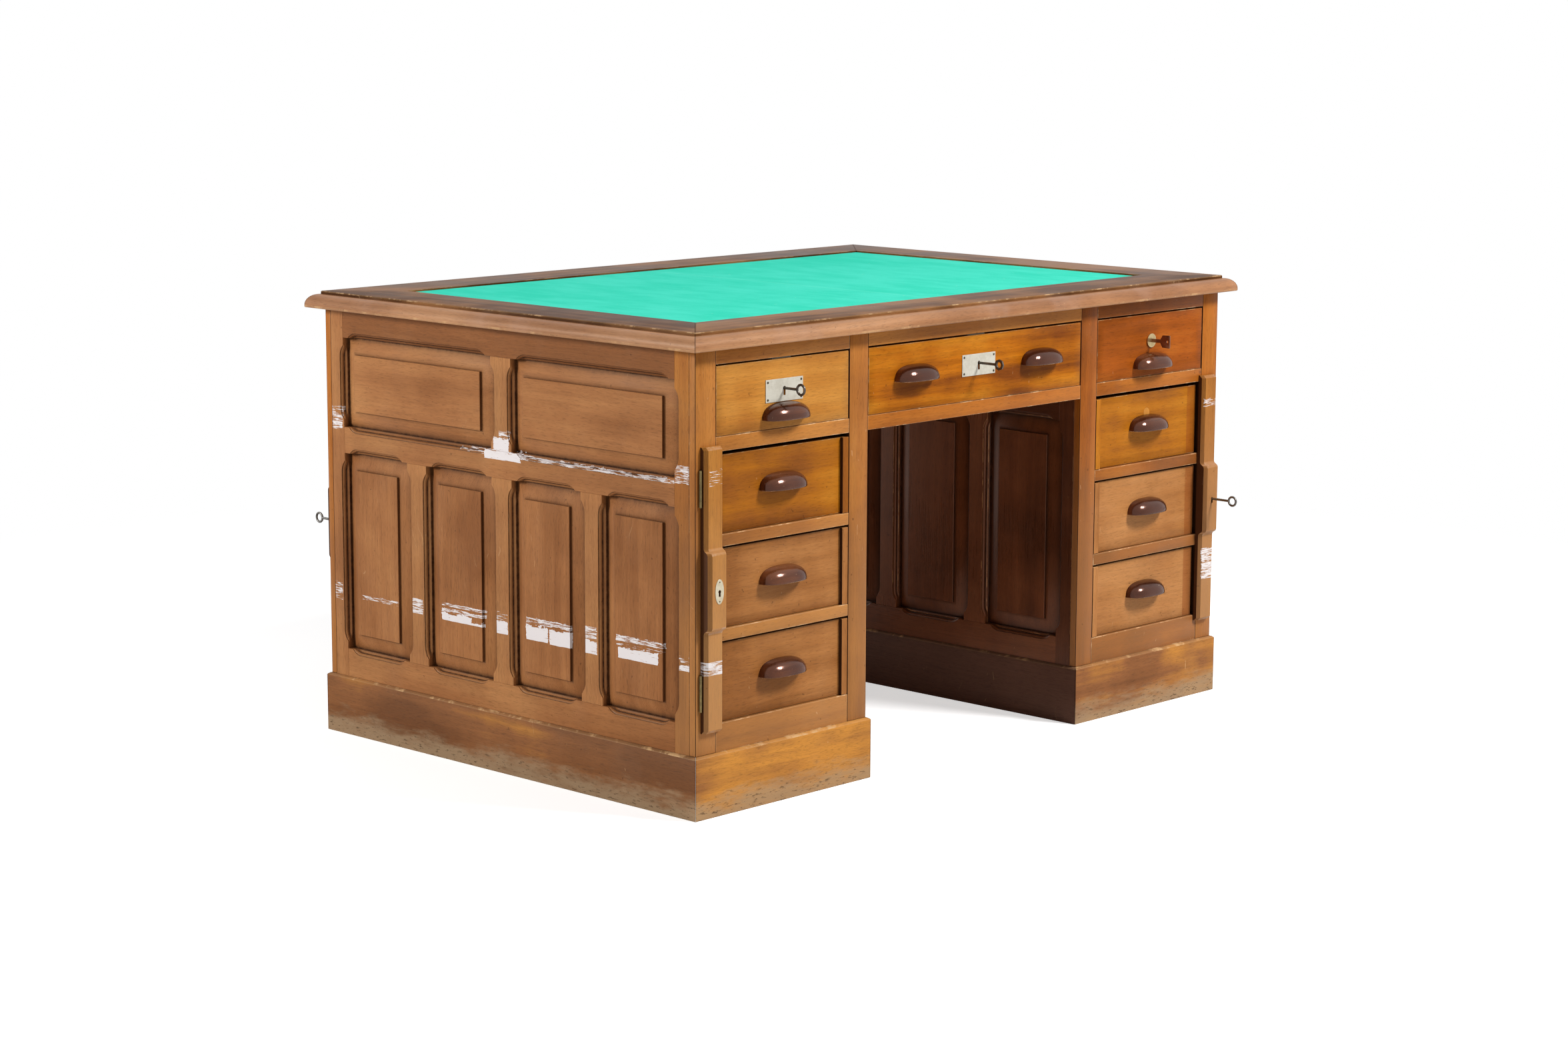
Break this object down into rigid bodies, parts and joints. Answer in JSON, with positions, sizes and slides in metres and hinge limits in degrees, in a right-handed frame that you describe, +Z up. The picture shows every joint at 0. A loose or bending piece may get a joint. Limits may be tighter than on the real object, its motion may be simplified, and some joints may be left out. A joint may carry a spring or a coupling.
{
  "type": "partners desk",
  "caption": "Pedestal desk with panelled ends, drawers on both faces, hinged locking stiles beside the drawer stacks and a cloth-lined top in a moulded border.",
  "frame": {"origin": "on the floor under the middle of the desk", "axes": "+X to the right of a person who faces the front, -Y out of the front towards that person, +Z up"},
  "size_m": [1.407, 1.067, 0.78],
  "materials": {
    "mahogany": "old polish, worn",
    "dark_mahogany": "dark gloss polish",
    "inner_wood": "bare wood",
    "writing_cloth": "green baize",
    "nickel_plate": "dull nickel plate",
    "steel": "handled steel",
    "dark_steel": "dark steel",
    "old_brass": "tarnished brass"
  },
  "bodies": {
    "desk": {"top_board": "mahogany", "top_border": "mahogany", "edge_moulding": "mahogany", "writing_cloth": "writing_cloth", "left_end": "mahogany", "right_end": "mahogany", "left_kneehole_side": "mahogany", "right_kneehole_side": "mahogany", "front_frame": "mahogany", "back_frame": "mahogany", "drawer_runners": "inner_wood", "inner_boards": "inner_wood", "plinths": "mahogany", "front_stile_fittings": "old_brass", "back_stile_fittings": "old_brass"},
    "left_top_drawer": {"left_top_drawer": "mahogany", "left_top_drawer_pull": "dark_mahogany", "left_lock": "nickel_plate"},
    "left_bottom_drawer": {"left_bottom_drawer": "mahogany", "left_bottom_drawer_pull": "dark_mahogany"},
    "left_third_drawer": {"left_third_drawer": "mahogany", "left_third_drawer_pull": "dark_mahogany"},
    "left_second_drawer": {"left_second_drawer": "mahogany", "left_second_drawer_pull": "dark_mahogany"},
    "right_top_drawer": {"right_top_drawer": "mahogany", "right_top_drawer_pull": "dark_mahogany", "right_cylinder_lock": "old_brass"},
    "right_bottom_drawer": {"right_bottom_drawer": "mahogany", "right_bottom_drawer_pull": "dark_mahogany"},
    "right_third_drawer": {"right_third_drawer": "mahogany", "right_third_drawer_pull": "dark_mahogany"},
    "right_second_drawer": {"right_second_drawer": "mahogany", "right_second_drawer_pull": "dark_mahogany"},
    "back_right_top_drawer": {"back_right_top_drawer": "mahogany"},
    "back_right_bottom_drawer": {"back_right_bottom_drawer": "mahogany"},
    "back_right_third_drawer": {"back_right_third_drawer": "mahogany"},
    "back_right_second_drawer": {"back_right_second_drawer": "mahogany"},
    "back_left_top_drawer": {"back_left_top_drawer": "mahogany"},
    "back_left_bottom_drawer": {"back_left_bottom_drawer": "mahogany"},
    "back_left_third_drawer": {"back_left_third_drawer": "mahogany"},
    "back_left_second_drawer": {"back_left_second_drawer": "mahogany"},
    "centre_drawer": {"centre_drawer": "mahogany", "centre_drawer_pulls": "dark_mahogany", "centre_lock": "nickel_plate"},
    "back_centre_drawer": {"back_centre_drawer": "mahogany"},
    "left_drawer_key": {"left_key": "steel"},
    "left_drawer_bolt": {"left_lock_bolt": "steel"},
    "centre_drawer_key": {"centre_key": "dark_steel"},
    "centre_drawer_bolt": {"centre_lock_bolt": "steel"},
    "right_drawer_key": {"right_key": "dark_steel"},
    "left_stile": {"left_locking_stile": "mahogany", "left_stile_lock": "old_brass"},
    "right_stile": {"right_locking_stile": "mahogany", "right_stile_lock": "old_brass"},
    "back_right_stile": {"back_right_locking_stile": "mahogany"},
    "back_left_stile": {"back_left_locking_stile": "mahogany"},
    "right_stile_key": {"right_stile_key": "steel"},
    "right_stile_bolt": {"right_stile_bolt": "steel"},
    "back_left_stile_key": {"back_left_stile_key": "steel"},
    "back_left_stile_bolt": {"back_left_stile_bolt": "steel"}
  },
  "joints": [
    {"name": "left_top_drawer_slide", "type": "slide", "parent": "desk", "child": "left_top_drawer", "axis": [0, -1, 0], "range_m": [0, 0.32]},
    {"name": "left_bottom_drawer_slide", "type": "slide", "parent": "desk", "child": "left_bottom_drawer", "axis": [0, -1, 0], "range_m": [0, 0.32]},
    {"name": "left_third_drawer_slide", "type": "slide", "parent": "desk", "child": "left_third_drawer", "axis": [0, -1, 0], "range_m": [0, 0.32]},
    {"name": "left_second_drawer_slide", "type": "slide", "parent": "desk", "child": "left_second_drawer", "axis": [0, -1, 0], "range_m": [0, 0.32]},
    {"name": "right_top_drawer_slide", "type": "slide", "parent": "desk", "child": "right_top_drawer", "axis": [0, -1, 0], "range_m": [0, 0.32]},
    {"name": "right_bottom_drawer_slide", "type": "slide", "parent": "desk", "child": "right_bottom_drawer", "axis": [0, -1, 0], "range_m": [0, 0.32]},
    {"name": "right_third_drawer_slide", "type": "slide", "parent": "desk", "child": "right_third_drawer", "axis": [0, -1, 0], "range_m": [0, 0.32]},
    {"name": "right_second_drawer_slide", "type": "slide", "parent": "desk", "child": "right_second_drawer", "axis": [0, -1, 0], "range_m": [0, 0.32]},
    {"name": "back_right_top_drawer_slide", "type": "slide", "parent": "desk", "child": "back_right_top_drawer", "axis": [0, 1, 0], "range_m": [0, 0.32]},
    {"name": "back_right_bottom_drawer_slide", "type": "slide", "parent": "desk", "child": "back_right_bottom_drawer", "axis": [0, 1, 0], "range_m": [0, 0.32]},
    {"name": "back_right_third_drawer_slide", "type": "slide", "parent": "desk", "child": "back_right_third_drawer", "axis": [0, 1, 0], "range_m": [0, 0.32]},
    {"name": "back_right_second_drawer_slide", "type": "slide", "parent": "desk", "child": "back_right_second_drawer", "axis": [0, 1, 0], "range_m": [0, 0.32]},
    {"name": "back_left_top_drawer_slide", "type": "slide", "parent": "desk", "child": "back_left_top_drawer", "axis": [0, 1, 0], "range_m": [0, 0.32]},
    {"name": "back_left_bottom_drawer_slide", "type": "slide", "parent": "desk", "child": "back_left_bottom_drawer", "axis": [0, 1, 0], "range_m": [0, 0.32]},
    {"name": "back_left_third_drawer_slide", "type": "slide", "parent": "desk", "child": "back_left_third_drawer", "axis": [0, 1, 0], "range_m": [0, 0.32]},
    {"name": "back_left_second_drawer_slide", "type": "slide", "parent": "desk", "child": "back_left_second_drawer", "axis": [0, 1, 0], "range_m": [0, 0.32]},
    {"name": "centre_drawer_slide", "type": "slide", "parent": "desk", "child": "centre_drawer", "axis": [0, -1, 0], "range_m": [0, 0.32]},
    {"name": "back_centre_drawer_slide", "type": "slide", "parent": "desk", "child": "back_centre_drawer", "axis": [0, 1, 0], "range_m": [0, 0.32]},
    {"name": "left_drawer_key_turn", "type": "hinge", "parent": "left_top_drawer", "child": "left_drawer_key", "pos_m": [-0.47825, -0.456, 0.6752], "axis": [0, -1, 0], "range_deg": [0, 180]},
    {"name": "left_drawer_bolt_slide", "type": "slide", "parent": "left_top_drawer", "child": "left_drawer_bolt", "axis": [0, 0, 1], "range_m": [0, 0.008]},
    {"name": "centre_drawer_key_turn", "type": "hinge", "parent": "centre_drawer", "child": "centre_drawer_key", "pos_m": [0, -0.456, 0.6752], "axis": [0, -1, 0], "range_deg": [0, 180]},
    {"name": "centre_drawer_bolt_slide", "type": "slide", "parent": "centre_drawer", "child": "centre_drawer_bolt", "axis": [0, 0, 1], "range_m": [0, 0.008]},
    {"name": "right_drawer_key_turn", "type": "hinge", "parent": "right_top_drawer", "child": "right_drawer_key", "pos_m": [0.47825, -0.456, 0.6752], "axis": [0, -1, 0], "range_deg": [0, 90]},
    {"name": "left_stile_hinge", "type": "hinge", "parent": "desk", "child": "left_stile", "pos_m": [-0.6697, -0.459, 0.36915], "axis": [0, 0, -1], "range_deg": [0, 115]},
    {"name": "right_stile_hinge", "type": "hinge", "parent": "desk", "child": "right_stile", "pos_m": [0.6697, -0.459, 0.36915], "axis": [0, 0, 1], "range_deg": [0, 115]},
    {"name": "back_right_stile_hinge", "type": "hinge", "parent": "desk", "child": "back_right_stile", "pos_m": [0.6697, 0.459, 0.36915], "axis": [0, 0, -1], "range_deg": [0, 115]},
    {"name": "back_left_stile_hinge", "type": "hinge", "parent": "desk", "child": "back_left_stile", "pos_m": [-0.6697, 0.459, 0.36915], "axis": [0, 0, 1], "range_deg": [0, 115]},
    {"name": "right_stile_key_turn", "type": "hinge", "parent": "right_stile", "child": "right_stile_key", "pos_m": [0.64625, -0.4775, 0.36915], "axis": [0, -1, 0], "range_deg": [0, 180]},
    {"name": "right_stile_bolt_slide", "type": "slide", "parent": "right_stile", "child": "right_stile_bolt", "axis": [0, 0, 1], "range_m": [0, 0.008]},
    {"name": "back_left_stile_key_turn", "type": "hinge", "parent": "back_left_stile", "child": "back_left_stile_key", "pos_m": [-0.64625, 0.4775, 0.36915], "axis": [0, 1, 0], "range_deg": [0, 180]},
    {"name": "back_left_stile_bolt_slide", "type": "slide", "parent": "back_left_stile", "child": "back_left_stile_bolt", "axis": [0, 0, 1], "range_m": [0, 0.008]}
  ],
  "couplings": [
    {"joint": "left_drawer_key_turn", "follows": "left_drawer_bolt_slide", "rad_per_m": 392.69},
    {"joint": "centre_drawer_key_turn", "follows": "centre_drawer_bolt_slide", "rad_per_m": 392.69},
    {"joint": "right_stile_key_turn", "follows": "right_stile_bolt_slide", "rad_per_m": 392.69},
    {"joint": "back_left_stile_key_turn", "follows": "back_left_stile_bolt_slide", "rad_per_m": 392.69}
  ]
}
